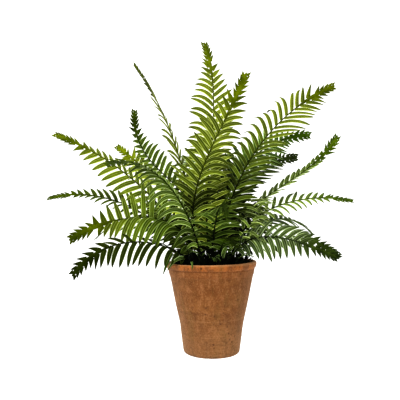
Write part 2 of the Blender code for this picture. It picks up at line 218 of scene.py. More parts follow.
def make_pot_mesh():
    """The pot's section turned in many steps, with each point moved a little by hand."""
    profile = resampled(POT_PROFILE, 2.2)
    rings = profile[1:-1]
    points = [(0.0, 0.0, profile[0][1] * MM)]
    for radius, height in rings:
        points += [thrown(radius, height, 360.0 * turn / POT_TURNS) for turn in range(POT_TURNS)]
    points.append((0.0, 0.0, 0.0))
    faces = []
    for turn in range(POT_TURNS):
        after = (turn + 1) % POT_TURNS
        faces.append((0, 1 + turn, 1 + after))
        for ring in range(len(rings) - 1):
            low = 1 + ring * POT_TURNS
            high = low + POT_TURNS
            faces.append((low + turn, high + turn, high + after, low + after))
        last = 1 + (len(rings) - 1) * POT_TURNS
        faces.append((last + turn, len(points) - 1, last + after))
    mesh = bpy.data.meshes.new("clay_pot")
    mesh.from_pydata(points, [], faces)
    return mesh


def make_terracotta():
    """Weathered clay: orange rim, brown body, streaks, dark specks, paler low down; painted shadow and highlight.
    """
    material, shader, point = new_material("weathered_terracotta")
    height = point.node("SeparateXYZ", {}, {0: point}, 2)
    cloud = point.spots(26.0, 4.0)
    blotch = point.spots(95.0, 5.0, (1.0, 1.0, 0.7), 0.62)
    streak = point.spots(210.0, 3.0, (1.0, 1.0, 0.10), 0.6)
    rings = point.spots(240.0, 2.0, (0.05, 0.05, 1.0), 0.6)
    mottle = point.spots(430.0, 3.0, roughness=0.7)
    grain = point.spots(1500.0, 3.0, roughness=0.7)
    pores = point.cells(520.0)
    flecks = point.cells(140.0)

    clay = cloud.between(0.36, 0.66).blend((0.165, 0.064, 0.019), (0.212, 0.092, 0.032))
    clay = (blotch.between(0.47, 0.66) * 0.62).blend(clay, (0.110, 0.040, 0.010))
    clay = ((1.0 - blotch.between(0.30, 0.46)) * 0.45).blend(clay, (0.310, 0.150, 0.080))
    clay = (streak.between(0.52, 0.70) * 0.50).blend(clay, (0.300, 0.150, 0.072))
    # Darker streaks on the upper part of the body.
    upper = height.between(0.050, 0.100)
    clay = ((1.0 - streak.between(0.32, 0.46)) * upper * 0.45).blend(clay, (0.104, 0.050, 0.012))
    clay = (rings.between(0.53, 0.68) * (0.50 - 0.30 * upper)).blend(clay, (0.110, 0.040, 0.012))
    clay = ((1.0 - rings.between(0.32, 0.46)) * (0.35 - 0.25 * upper)).blend(clay, (0.330, 0.175, 0.090))

    ridge = height.between(116.6 * MM, 118.4 * MM)
    clay = (ridge * 0.35 * cloud).blend(clay, (0.330, 0.130, 0.055))
    band = height.between((POT_HEIGHT - BAND_HEIGHT) * MM, (POT_HEIGHT - BAND_HEIGHT + 1.2) * MM)
    rim_clay = blotch.between(0.40, 0.58).blend((0.340, 0.122, 0.030), (0.170, 0.062, 0.018))
    clay = (band * 0.85).blend(clay, rim_clay)
    # Painted highlight: a pale streak along the top edge of the lip.
    lip_highlight = height.between((POT_HEIGHT - 1.4) * MM, (POT_HEIGHT - 0.2) * MM)
    clay = (lip_highlight * (0.35 + 0.5 * cloud)).blend(clay, (0.420, 0.230, 0.125))
    # Painted shadow: a dark line just under the overhang of the rim band.
    painted_band_shadow = (1.0 - height.between(127.6 * MM, 129.2 * MM)) * height.between(125.8 * MM, 127.4 * MM)
    clay = (painted_band_shadow * 0.60).blend(clay, (0.140, 0.044, 0.009))

    # Paler in blotches towards the foot.
    paler_towards_foot = (1.0 - height.between(0.004, 0.085)) * (0.35 + 0.9 * blotch)
    clay = (paler_towards_foot * 0.35).blend(clay, (0.290, 0.180, 0.110))
    foot = (1.0 - height.between(0.0015, 0.0075)) * blotch.between(0.38, 0.60)
    clay = (foot * 0.6).blend(clay, (0.105, 0.060, 0.032))
    olive = point.spots(45.0, 3.0, (1.0, 1.0, 0.5)).between(0.56, 0.70)
    clay = (olive * 0.30).blend(clay, (0.130, 0.080, 0.024))
    dark_fleck = (1.0 - flecks.between(0.10, 0.30)) * cloud.between(0.48, 0.58)
    clay = (dark_fleck * 0.7).blend(clay, (0.060, 0.024, 0.009))
    clay = (mottle.between(0.50, 0.66) * 0.45).blend(clay, (0.092, 0.036, 0.010))
    clay = ((1.0 - mottle.between(0.34, 0.48)) * 0.40).blend(clay, (0.330, 0.175, 0.092))
    clay = (grain.between(0.52, 0.74) * 0.22).blend(clay, (0.350, 0.190, 0.100))

    clay = clay.node("VectorMath", {"operation": "MULTIPLY"}, {0: clay, 1: (0.97, 0.95, 0.80)})
    for place, size in RIM_MARKS:
        away = point.node("VectorMath", {"operation": "DISTANCE"}, {0: point, 1: place}, "Value")
        mark = 1.0 - (away + mottle * 0.004).between(size, size + 0.0016)
        clay = (mark * 0.8).blend(clay, (0.030, 0.010, 0.004))

    rough = 0.97 - 0.16 * streak - 0.08 * band
    relief = grain * 0.25 + mottle * 0.50 + rings * 0.35 + blotch * 0.6 + pores.between(0.0, 0.22) * 0.3
    finish_shader(material, shader, clay, rough, relief, 0.0008)
    shader.inputs["Specular IOR Level"].default_value = 0.25
    shader.inputs["Sheen Weight"].default_value = 0.28
    shader.inputs["Sheen Roughness"].default_value = 0.5
    shader.inputs["Sheen Tint"].default_value = (0.95, 0.64, 0.40, 1.0)
    return material


pot = add_piece("clay_pot", make_pot_mesh(), make_terracotta(), 55.0)
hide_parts("pot")


# The filler hides the foam that the stems are pushed into: a heap of dark moss crumbs and
# shreds of bark, pressed down by hand to just under the rim and stained nearly black.

SOIL_TOP = 130.0
SOIL_EDGE = 62.2
MOSS_CRUMBS = 620
MOSS_SHREDS = 520


def filler_height(radius, angle):
    """The heap's height: level in the middle, lower at the wall, lumpy all over."""
    turn = math.radians(angle)
    place = Vector((math.cos(turn) * radius, math.sin(turn) * radius, 3.0))
    fall = max(0.0, radius - 40.0) / (SOIL_EDGE - 40.0)
    lumps = 1.5 * noise.noise(place / 9.0) + 0.8 * noise.noise(place / 3.0)
    return SOIL_TOP - 3.0 * fall - 0.4 + lumps * (1.0 - 0.5 * fall)


def add_heap(points, faces):
    """The plug itself: a lumpy top, a tapered side against the pot and a flat underside."""
    turns = 120
    radii = [1.5, 3, 5, 7, 9, 11.5, 14, 17, 20, 23, 26, 29, 32, 35, 38, 41, 44, 47, 50, 53, 56, 59, SOIL_EDGE - 0.6]
    rings = [[(radius, filler_height(radius, 360.0 * turn / turns)) for turn in range(turns)] for radius in radii]
    rings.append([(SOIL_EDGE - 0.9, 124.0)] * turns)
    rings.append([(41.6, 42.0)] * turns)
    rings.append([(37.0, 8.6)] * turns)
    points.append((0.0, 0.0, filler_height(0.0, 0.0) * MM))
    for ring in rings:
        for turn, (radius, height) in enumerate(ring):
            angle = 2.0 * math.pi * turn / turns
            points.append((math.cos(angle) * radius * MM, math.sin(angle) * radius * MM, height * MM))
    points.append((0.0, 0.0, 8.6 * MM))
    for turn in range(turns):
        after = (turn + 1) % turns
        faces.append((0, 1 + turn, 1 + after))
        for ring in range(len(rings) - 1):
            low = 1 + ring * turns
            faces.append((low + turn, low + turns + turn, low + turns + after, low + after))
        last = 1 + (len(rings) - 1) * turns
        faces.append((last + turn, len(points) - 1, last + after))


def add_crumb(points, faces, draw):
    """One crumb of moss: a squashed, knobbly ball that rests in the heap."""
    radius = 57.0 * math.sqrt(draw.random())
    angle = draw.uniform(0.0, 360.0)
    size = draw.uniform(1.3, 3.4)
    turn = math.radians(angle)
    centre = Vector((math.cos(turn) * radius, math.sin(turn) * radius,
                     filler_height(radius, angle) + size * 0.2))
    first = len(points)
    rings, sides = 4, 7
    spin = Matrix.Rotation(draw.uniform(0.0, 3.0), 3, Vector((draw.random(), draw.random(), 1.0)).normalized())
    points.append(tuple((centre + spin @ Vector((0.0, 0.0, size * 0.8))) * MM))
    for ring in range(1, rings):
        tilt = math.pi * ring / rings
        for side in range(sides):
            round_ = 2.0 * math.pi * side / sides
            knob = size * draw.uniform(0.75, 1.15)
            shape = Vector((math.sin(tilt) * math.cos(round_), math.sin(tilt) * math.sin(round_),
                            math.cos(tilt) * 0.8)) * knob
            points.append(tuple((centre + spin @ shape) * MM))
    points.append(tuple((centre - spin @ Vector((0.0, 0.0, size * 0.8))) * MM))
    last = len(points) - 1
    for side in range(sides):
        after = (side + 1) % sides
        faces.append((first, first + 1 + side, first + 1 + after))
        for ring in range(rings - 2):
            low = first + 1 + ring * sides
            faces.append((low + side, low + sides + side, low + sides + after, low + after))
        low = first + 1 + (rings - 2) * sides
        faces.append((low + side, last, low + after))


def add_shred(points, faces, draw):
    """One shred of bark or moss: a thin curled sliver that stands a little out of the heap."""
    radius = 56.0 * math.sqrt(draw.random())
    angle = draw.uniform(0.0, 360.0)
    turn = math.radians(angle)
    length = draw.uniform(4.0, 11.0)
    lean = math.radians(draw.uniform(8.0, 80.0))
    heading = draw.uniform(0.0, 2.0 * math.pi)
    start = Vector((math.cos(turn) * radius, math.sin(turn) * radius, filler_height(radius, angle) - 1.0))
    ahead = Vector((math.cos(heading) * math.cos(lean), math.sin(heading) * math.cos(lean), math.sin(lean)))
    side = Vector((-math.sin(heading), math.cos(heading), 0.0))
    steps = 5
    first = len(points)
    for step in range(steps + 1):
        share = step / steps
        centre = start + ahead * length * share + Vector((0, 0, -1)) * length * 0.35 * share * share
        inward = math.hypot(centre.x, centre.y)
        if inward > 60.0:
            centre.x *= 60.0 / inward
            centre.y *= 60.0 / inward
        half = 0.55 * (1.0 - share * 0.85) + 0.05
        up = ahead.cross(side) * half * 0.6
        points.extend(tuple((centre + offset) * MM) for offset in (side * half, up, side * -half, up * -1.0))
    for step in range(steps):
        low = first + step * 4
        for corner in range(4):
            after = (corner + 1) % 4
            faces.append((low + corner, low + after, low + 4 + after, low + 4 + corner))
    faces.append((first, first + 3, first + 2, first + 1))
    end = first + steps * 4
    faces.append((end, end + 1, end + 2, end + 3))


def make_filler_mesh():
    """The heap with its crumbs and shreds, in one mesh."""
    draw = random.Random(57)
    points = []
    faces = []
    add_heap(points, faces)
    for _ in range(MOSS_CRUMBS):
        add_crumb(points, faces, draw)
    for _ in range(MOSS_SHREDS):
        add_shred(points, faces, draw)
    mesh = bpy.data.meshes.new("moss_filler")
    mesh.from_pydata(points, [], faces)
    return mesh


def make_moss():
    """Nearly black moss, with green and brown flecks and painted cold blue glints in it."""
    material, shader, point = new_material("dark_moss")
    patch = point.spots(90.0, 4.0)
    fine = point.spots(620.0, 3.0, roughness=0.65)
    cold = point.spots(150.0, 2.0).between(0.55, 0.70)
    colour = patch.between(0.38, 0.62).blend((0.002, 0.003, 0.002), (0.010, 0.016, 0.005))
    # Painted glints: cold blue-green patches that stand for reflections on the dark moss.
    colour = (cold * 0.5).blend(colour, (0.006, 0.024, 0.022))
    colour = (fine.between(0.56, 0.72) * 0.5).blend(colour, (0.040, 0.034, 0.018))
    rough = 0.62 + 0.3 * fine
    finish_shader(material, shader, colour, rough, fine * 0.7 + patch * 0.3, 0.0016)
    shader.inputs["Specular IOR Level"].default_value = 0.12
    return material


filler = add_piece("moss_filler", make_filler_mesh(), make_moss(), 70.0)
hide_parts("soil")


# Between the stems stands a thicket of stiff black fibres and stunted dark blades, pushed
# into the moss by hand to hide the stems' feet. Their near-black is partly the moss's own
# and partly painted shade, for the deep shade among the stems. It rises about two fingers
# above the rim.

FIBRES = 420
STUNTED_BLADES = 300


def add_fibre(points, faces, draw, half_width, flat, shortest, longest):
    """One fibre or stunted blade: it stands up from the moss and arches outward."""
    radius = 53.0 * math.sqrt(draw.random())
    turn = draw.uniform(0.0, 2.0 * math.pi)
    outward = turn + draw.uniform(-1.2, 1.2)
    length = draw.uniform(shortest, longest)
    lean = math.radians(draw.uniform(38.0, 88.0))
    ahead = Vector((math.cos(outward) * math.cos(lean), math.sin(outward) * math.cos(lean), math.sin(lean)))
    side = Vector((-math.sin(outward), math.cos(outward), 0.0))
    side = Matrix.Rotation(draw.uniform(0.0, math.pi), 3, ahead) @ side
    centre = Vector((math.cos(turn) * radius, math.sin(turn) * radius,
                     filler_height(radius, math.degrees(turn)) - 1.5))
    droop = draw.uniform(0.3, 1.1)
    steps = 6
    first = len(points)
    for step in range(steps + 1):
        share = step / steps
        if step:
            ahead = (ahead + Vector((0, 0, -1)) * droop / steps).normalized()
            centre = centre + ahead * length / steps
        inward = math.hypot(centre.x, centre.y)
        place = centre.copy()
        if place.z < POT_HEIGHT + 3.0 and inward > 59.5:
            place.x *= 59.5 / inward
            place.y *= 59.5 / inward
        half = half_width * (1.0 - share ** 2.5) * min(1.0, 0.5 + 2.0 * share) + 0.12
        across = (side - ahead * side.dot(ahead)).normalized()
        up = ahead.cross(across) * half * flat
        points.extend(tuple((place + offset) * MM) for offset in (across * half, up, across * -half, up * -1.0))
    for step in range(steps):
        low = first + step * 4
        for corner in range(4):
            after = (corner + 1) % 4
            faces.append((low + corner, low + after, low + 4 + after, low + 4 + corner))
    faces.append((first, first + 3, first + 2, first + 1))
    end = first + steps * 4
    faces.append((end, end + 1, end + 2, end + 3))


def make_thicket_mesh():
    """All the fibres and stunted blades in one mesh."""
    draw = random.Random(91)
    points = []
    faces = []
    for _ in range(FIBRES):
        add_fibre(points, faces, draw, draw.uniform(0.35, 0.7), 0.8, 12.0, 32.0)
    for _ in range(STUNTED_BLADES):
        add_fibre(points, faces, draw, draw.uniform(1.1, 2.1), 0.16, 14.0, 36.0)
    mesh = bpy.data.meshes.new("moss_and_painted_shade_thicket")
    mesh.from_pydata(points, [], faces)
    return mesh


thicket = add_piece("moss_and_painted_shade_thicket", make_thicket_mesh(), make_moss(), 60.0)


# The fronds are moulded in soft plastic, each in one piece: a stiff rib, thin arched leaflets
# on both sides and a fused tip with teeth. They are pushed into the filler one by one, the
# tall ones in the middle and the low ones round the edge, and bent to shape by hand.

STEM_DEPTH = 14.0
RINGS = {"inner": 10.0, "middle": 20.0, "outer": 30.0}
STEM_WIDTH = 2.8
RIB_WIDTH = 1.8
RIB_THICKNESS = 2.6
TIP_THICKNESS = 1.6
BARE_STEM = 24.0
STEM_STEP = 12.0
LEAFLET_LENGTH = 45.0
LEAFLET_WIDTH = 6.0
LEAFLET_STEP = 5.8
FIRST_LEAFLET_SHARE = 0.45
LEAFLET_GROWTH = 2.8
LAST_LEAFLET_SHARE = 0.13
TAPER_LENGTH = 125.0
ROOT_LEAFLET_ANGLE = 62.0
TIP_LEAFLET_ANGLE = 46.0
BEND_SHARE = 0.55
HANG = 0.75
PAD_LENGTH = 40.0
PAD_WIDTH = 10.0
PAD_SPREAD = 1.6
PAD_NARROWING = 0.25
TOOTH_STEP = 5.0
TOOTH_LENGTH = 3.5
TOOTH_GROWTH = 0.17
LENGTH_SPREAD = (0.93, 1.05)
FOLD_SPREAD = 5.0
SWEEP_SPREAD = 3.0
HANG_SPREAD = 0.2
SEED = 11

# The poses that a leaflet may have been bent to: fold, sweep and part of its length
POSES = [(fold, sweep, part)
         for part in (1.0, 0.8, 0.6)
         for sweep in (0, 12, -12)
         for fold in (0, 14, -14, 28, -28, 38, -42, -56)]

# One row for each frond: colour tone, partly its own green and partly painted light and shade,
# ring of stems, angle of its root, heading, roll at the root and tip, fold, and three
# (out, up, aside) points of its rib from the root
FRONDS = {
    "frond_01": ("bright", "inner", 180, 178, (-35, 8), 0, (26, 119, 0), (66, 239, 0), (114, 322, 0)),
    "frond_02": ("dark", "inner", 135, 146, (-40, -50), 0, (43, 113, 0), (125, 184, 0), (155, 270, 0)),
    "frond_03": ("bright", "middle", 197, 195, (-55, -60), -12, (54, 84, 0), (141, 160, 0), (217, 196, 0)),
    "frond_04": ("bright", "middle", 152, 145, (-30, -30), 5, (20, 64, 0), (104, 152, 0), (189, 209, 0)),
    "frond_05": ("mid", "middle", 228, 228, (0, 0), -15, (35, 80, 0), (112, 142, 0), (181, 140, 0)),
    "frond_06": ("bright", "outer", 178, 178, (-50, -15), 8, (45, 58, 0), (157, 111, 0), (231, 106, 0)),
    "frond_07": ("bright", "outer", 205, 204, (-72, -55), 5, (28, 62, 0), (112, 73, 0), (186, 44, 0)),
    "frond_08": ("dark", "outer", 222, 209, (-20, -70), -14, (40, 28, 0), (115, 40, 0), (187, -2, 0)),
    "frond_09": ("bright", "inner", 270, 95, (0, 0), 5, (8, 110, 6), (18, 220, -4), (38, 366, 8)),
    "frond_10": ("bright", "inner", 225, 294, (0, 0), 5, (13, 100, -28), (56, 180, -17), (124, 266, 0)),
    "frond_11": ("bright", "inner", 0, 5, (45, 65), 12, (27, 119, 0), (87, 215, 0), (192, 290, 0)),
    "frond_12": ("mid", "inner", 45, 27, (40, 60), 5, (20, 121, 0), (82, 185, 0), (194, 224, 0)),
    "frond_13": ("dark", "middle", 45, 42, (30, 50), 10, (35, 122, 0), (118, 171, 0), (209, 193, 0)),
    "frond_14": ("mid", "middle", 15, 10, (0, 28), 10, (30, 74, 0), (103, 131, 0), (195, 213, 0)),
    "frond_15": ("mid", "outer", 5, 6, (22, 26), 10, (30, 66, 0), (110, 104, 0), (202, 103, 0)),
    "frond_16": ("mid", "outer", 325, -36, (50, 60), 0, (36, 42, 0), (99, 45, 0), (171, 21, 0)),
    "frond_17": ("dark", "outer", 345, -12, (40, 30), 8, (40, 40, 0), (110, 45, 0), (162, 19, 0)),
    "frond_18": ("mid", "outer", 290, -75, (0, 0), -5, (12, 32, 0), (38, 46, 0), (74, 36, 0)),
    "frond_19": ("mid", "outer", 35, 35, (20, 20), 5, (40, 50, 0), (125, 75, 0), (205, 45, 0)),
    "frond_20": ("dark", "outer", 58, 60, (0, 0), 5, (40, 55, 0), (115, 88, 0), (192, 66, 0)),
    "frond_21": ("mid", "outer", 88, 88, (0, 0), 5, (40, 55, 0), (115, 92, 0), (196, 74, 0)),
    "frond_22": ("dark", "outer", 118, 118, (0, 0), 5, (40, 50, 0), (112, 80, 0), (186, 52, 0)),
    "frond_23": ("bright", "middle", 73, 72, (0, 0), 5, (32, 92, 0), (95, 162, 0), (180, 185, 0)),
    "frond_24": ("mid", "middle", 105, 104, (0, 0), 5, (32, 94, 0), (95, 168, 0), (182, 200, 0)),
    "frond_25": ("bright", "inner", 90, 90, (0, 0), 5, (22, 105, 0), (60, 205, 0), (118, 265, 0)),
    "frond_26": ("mid", "outer", 150, 152, (-20, -20), 5, (40, 48, 0), (125, 70, 0), (205, 38, 0)),
    "frond_27": ("dark", "middle", 272, 277, (0, 0), -5, (20, 58, 0), (70, 90, 0), (126, 76, 0)),
}


# How each frond was bent and shaded. Two pairs for the root half and the tip: painted light
# or shade (1 is the colour's own) and warmth (0 cold green, 1 olive). Then the turn of the
# fused tip, three pairs for the leaflets on its left and on its right: extra fold, share of
# hang and of length; last, how strong the painted shade on the undersides is, and the share
# of the leaflets' width
LOOKS = {
    "frond_01": ((1.30, 0.75), (1.0, 1.0), 10, (0, 0), (0.5, 0.5), (1.0, 1.0), 1.0, 0.90),
    "frond_02": ((1.50, 1.10), (1.0, 0.9), 0, (0, 0), (0.9, 0.7), (0.60, 1.05), 1.0, 1.00),
    "frond_03": ((0.80, 0.80), (0.7, 1.0), -5, (0, 0), (0.3, 0.4), (0.86, 0.60), 1.0, 1.02),
    "frond_04": ((1.80, 1.10), (1.0, 1.0), -35, (0, 0), (0.8, 0.8), (1.0, 1.0), 1.0, 1.08),
    "frond_05": ((1.70, 0.55), (0.9, 0.8), -28, (0, -16), (1.0, 1.7), (0.50, 1.1), 0.4, 0.95),
    "frond_06": ((0.65, 0.46), (0.5, 0.5), -28, (0, 0), (0.9, 0.4), (0.65, 0.9), 1.0, 0.85),
    "frond_07": ((0.74, 0.55), (0.4, 0.9), -25, (0, 0), (1.5, 0.2), (1.3, 1.25), 1.0, 1.05),
    "frond_08": ((0.45, 0.42), (1.0, 1.0), -10, (0, 0), (0.9, 0.5), (1.0, 0.7), 1.0, 0.90),
    "frond_09": ((0.84, 0.74), (1.0, 1.0), 0, (0, 0), (0.8, 0.3), (1.0, 0.85), 0.5, 0.98),
    "frond_10": ((0.82, 0.90), (0.8, 1.0), -25, (0, 0), (0.9, 0.35), (1.0, 1.0), 0.0, 0.95),
    "frond_11": ((0.40, 0.62), (0.6, 1.0), 28, (0, 0), (1.0, 0.4), (1.0, 1.12), 1.0, 0.85),
    "frond_12": ((0.70, 0.80), (0.7, 0.4), 35, (0, 0), (0.5, 0.4), (1.15, 1.05), 1.0, 0.95),
    "frond_13": ((1.10, 0.70), (1.0, 0.8), 38, (0, 0), (0.4, 0.1), (1.20, 0.90), 1.0, 1.00),
    "frond_14": ((1.10, 0.90), (1.0, 0.9), 35, (2, 0), (0.3, 0.3), (0.60, 0.6), 1.0, 1.15),
    "frond_15": ((1.30, 1.00), (1.0, 0.9), 12, (0, -20), (0.5, 1.2), (0.80, 0.62), 1.0, 0.80),
    "frond_16": ((0.90, 0.75), (0.8, 0.9), 15, (0, 0), (0.8, 0.8), (1.0, 1.0), 1.0, 0.90),
    "frond_17": ((0.90, 0.80), (0.8, 0.9), 30, (0, 0), (0.8, 0.8), (1.0, 1.0), 1.0, 0.90),
    "frond_18": ((1.80, 0.30), (0.8, 0.8), 0, (0, 0), (0.8, 0.8), (1.0, 1.0), 1.0, 0.80),
    "frond_19": ((0.70, 0.80), (0.6, 0.6), 0, (0, 0), (0.8, 0.8), (1.0, 1.0), 1.0, 1.00),
    "frond_20": ((0.70, 0.80), (0.6, 0.6), 0, (0, 0), (0.8, 0.8), (1.0, 1.0), 1.0, 0.95),
    "frond_21": ((0.90, 0.80), (0.7, 0.7), 0, (0, 0), (0.7, 0.8), (1.0, 1.0), 1.0, 1.00),
    "frond_22": ((1.00, 0.80), (0.6, 0.6), 0, (0, 0), (0.8, 0.7), (1.0, 1.0), 1.0, 0.90),
    "frond_23": ((0.85, 0.90), (0.8, 0.9), 0, (0, 0), (0.8, 0.8), (1.0, 1.0), 1.0, 0.95),
    "frond_24": ((0.90, 0.90), (0.7, 0.8), 0, (0, 0), (0.7, 0.8), (1.0, 1.0), 1.0, 0.95),
    "frond_25": ((0.85, 0.95), (0.9, 1.0), 0, (0, 0), (0.8, 0.8), (1.0, 1.0), 1.0, 0.90),
    "frond_26": ((0.80, 0.80), (0.6, 0.6), 0, (0, 0), (0.8, 0.7), (1.0, 1.0), 1.0, 0.95),
    "frond_27": ((1.60, 0.90), (0.8, 0.8), 75, (0, 0), (0.8, 0.8), (1.0, 1.0), 0.5, 0.85),
}
TWIST_LENGTH = 70.0

# Tips that came out unlike the rest: size of their teeth, share by which the leaflets just
# before them are shorter, how far the teeth lean forward, and how broad the middle is; then
# fronds whose leaflets stand wider from the rib, in degrees on its left and on its right
ODD_TIPS = {"frond_12": (1.50, 0.62, -6.0, 1.25), "frond_13": (1.45, 0.62, -12.0, 1.40),
            "frond_15": (1.0, 0.3, 0.0, 1.0), "frond_07": (1.1, 0.5, 0.0, 1.3),
            "frond_08": (1.15, 0.0, 0.0, 1.0), "frond_14": (1.10, 0.5, -4.0, 1.1),
            "frond_11": (1.10, 0.0, -4.0, 1.2), "frond_03": (0.85, 0.2, -8.0, 0.85),
            "frond_10": (1.0, 0.15, -2.0, 1.15), "frond_09": (1.0, 0.35, -4.0, 1.1),
            "frond_16": (0.90, 0.25, -4.0, 0.9), "frond_17": (0.85, 0.4, 0.0, 0.8),
            "frond_18": (1.25, 0.0, 6.0, 0.5), "frond_05": (1.35, 0.3, 8.0, 0.8),
            "frond_02": (1.0, 0.45, -4.0, 0.9), "frond_06": (0.8, 0.5, -6.0, 0.8)}
WIDER = {"frond_07": (-4.0, 36.0), "frond_03": (6.0, 0.0), "frond_14": (-9.0, 0.0)}


class Rib:
    """A frond's rib, read by its length from the root in metres."""

    def __init__(self, row, twist=0.0):
        heading = math.radians(row[3])
        ahead = Vector((math.cos(heading), math.sin(heading), 0.0))
        aside = Vector((-math.sin(heading), math.cos(heading), 0.0))
        angle = math.radians(row[2])
        radius = RINGS[row[1]]
        root = Vector((radius * math.cos(angle), radius * math.sin(angle), SOIL_TOP)) * MM
        knots = [root] + [root + (ahead * out + aside * left + Vector((0, 0, up))) * MM
                          for out, up, left in row[6:]]
        self.points = self.curve_through(knots)
        self.lengths = [0.0]
        for before, after in zip(self.points, self.points[1:]):
            self.lengths.append(self.lengths[-1] + (after - before).length)
        self.length = self.lengths[-1]
        self.level_side = aside
        self.rolls = row[4]
        self.fold = row[5]
        self.twist = twist

    def curve_through(self, knots, count=240):
        """A cubic through four points, as a list of evenly timed points."""
        times = [0.0]
        for before, after in zip(knots, knots[1:]):
            times.append(times[-1] + (after - before).length)
        times = [time / times[-1] for time in times]
        points = []
        for step in range(count + 1):
            now = step / count
            point = Vector((0, 0, 0))
            for index, knot in enumerate(knots):
                weight = 1.0
                for other, time in enumerate(times):
                    if other != index:
                        weight *= (now - time) / (times[index] - time)
                point += knot * weight
            points.append(point)
        return points

    def at(self, along):
        """The point at a length along the rib; it runs straight down below the root."""
        if along < 0:
            return self.points[0] + Vector((0, 0, along))
        index = 1
        while index < len(self.lengths) - 1 and self.lengths[index] < along:
            index += 1
        start, end = self.lengths[index - 1], self.lengths[index]
        return self.points[index - 1].lerp(self.points[index], (along - start) / (end - start))

    def axes(self, along):
        """Unit vectors at a length: along the rib, to its left, and out of its upper face."""
        if along < 0:
            tangent = Vector((0, 0, 1))
        else:
            step = 2.0 * MM
            ahead = min(along + step, self.length)
            tangent = (self.at(ahead) - self.at(max(ahead - 2 * step, 0.0))).normalized()
        side = self.level_side - tangent * self.level_side.dot(tangent)
        share = min(max(along / self.length, 0.0), 1.0)
        turned = 1.0 - (self.length - along - (PAD_LENGTH - 10.0) * MM) / (TWIST_LENGTH * MM)
        turned = min(max(turned, 0.0), 1.0)
        turned = turned * turned * (3.0 - 2.0 * turned)
        roll = math.radians(self.rolls[0] + (self.rolls[1] - self.rolls[0]) * share + self.twist * turned)
        side = Matrix.Rotation(roll, 3, tangent) @ side.normalized()
        return tangent, side, tangent.cross(side)

    def section(self, along):
        """Half width and thickness of the rib at a length; it widens into the pad."""
        share = min(max(along / self.length, 0.0), 1.0)
        thickness = RIB_THICKNESS + (TIP_THICKNESS - RIB_THICKNESS) * share
        width = STEM_WIDTH + (RIB_WIDTH - STEM_WIDTH) * min(share * 2.0, 1.0)
        into_pad = 1.0 - (self.length - along) / (PAD_LENGTH * MM)
        if into_pad > 0.0:
            spread = math.sin(math.radians(min(into_pad * PAD_SPREAD, 1.0) * 90.0))
            width += (PAD_WIDTH - RIB_WIDTH) * (spread - PAD_NARROWING * into_pad)
        return width * 0.5 * MM, thickness * MM


def spaced(start, end, step):
    """Even marks from start to end, start left out, about one step apart."""
    parts = max(1, round((end - start) / step))
    return [start + (end - start) * part / parts for part in range(1, parts + 1)]


def leaflet_marks(rib):
    """The marks along a rib between which leaflets grow, and the number of the first."""
    bare = BARE_STEM * MM
    pad_start = rib.length - PAD_LENGTH * MM
    marks = [-STEM_DEPTH * MM, 0.0] + spaced(0.0, bare, STEM_STEP * MM)
    first = len(marks) - 1
    marks += spaced(bare, pad_start, LEAFLET_STEP * MM)
    marks += spaced(pad_start, rib.length, TOOTH_STEP * MM)
    return marks, first


def leaflet_size(rib, along):
    """Length of a leaflet and its angle to the rib: short at both ends, long between."""
    share = (along - BARE_STEM * MM) / (rib.length - BARE_STEM * MM)
    angle = ROOT_LEAFLET_ANGLE + (TIP_LEAFLET_ANGLE - ROOT_LEAFLET_ANGLE) * share
    to_tip = (rib.length - along) / MM
    if to_tip < PAD_LENGTH:
        return (TOOTH_LENGTH + TOOTH_GROWTH * to_tip) * MM, angle
    grow = min(1.0, FIRST_LEAFLET_SHARE + LEAFLET_GROWTH * share)
    taper = min(1.0, LAST_LEAFLET_SHARE + to_tip / TAPER_LENGTH)
    return LEAFLET_LENGTH * grow * taper * MM, angle


def leaflet_pose(rib, along, hand, pose, wobble):
    """Where a leaflet starts, its first direction, its width's direction, length and tip."""
    tangent, side, up = rib.axes(along)
    length, angle = leaflet_size(rib, along)
    fold, sweep, part = pose
    length *= part * wobble[0]
    angle = math.radians(angle + sweep + wobble[2])
    base = rib.at(along) + side * hand * rib.section(along)[0]
    tooth = rib.length - along < PAD_LENGTH * MM
    fold_angle = 0.0 if tooth else math.radians(rib.fold + fold + wobble[1])
    outward = side * hand * math.cos(fold_angle) + up * math.sin(fold_angle)
    direction = tangent * math.cos(angle) + outward * math.sin(angle)
    across = (tangent - direction * tangent.dot(direction)).normalized()
    hanging = (direction + Vector((0, 0, -1)) * (HANG + wobble[3])).normalized()
    tip = base + direction * length
    if not tooth:
        tip = base + direction * length * BEND_SHARE + hanging * length * (1.0 - BEND_SHARE)
    return base, direction, across, length, tip


def found_pose(rib, along, hand, wobble, corners):
    """The pose that the frame's own leaflet was bent to, or None where it has no leaflet."""
    for pose in POSES:
        tip = leaflet_pose(rib, along, hand, pose, wobble)[-1]
        if corners.find(tip)[2] < 0.00004:
            return pose
    return None


# A leaflet's grid: shares of its length, and of its half width from one edge to the other
ALONG = np.array([0.0, 0.08, 0.18, 0.30, 0.42, 0.54, 0.66, 0.77, 0.87, 0.95, 1.0])
ACROSS = np.array([-1.0, -0.55, -0.14, 0.0, 0.14, 0.55, 1.0])
BLADE_THICKNESS = 0.65
LEAFLET_WIDEST = 7.3
PAD_FADE = 24.0

# The fused tip: half width of its middle, and its teeth: step along each side at the end and
# how it grows towards the root, width, the part inside the tip, reach beyond the frame's own
# teeth, how far they lean forward, and the stretch before the tip where leaflets are pointed
TIP_HALF_WIDTH = 2.7
TIP_SPREAD = 0.30
EDGE_TOOTH_STEP = 5.2
TOOTH_STEP_GROWTH = 0.14
TOOTH_WIDTH = 5.2
TOOTH_WIDENING = 0.05
TOOTH_REACH = 1.20
TOOTH_LEAN = -2.0
POINTED_WIDTH = 9.0
POINTED_STRETCH = 48.0


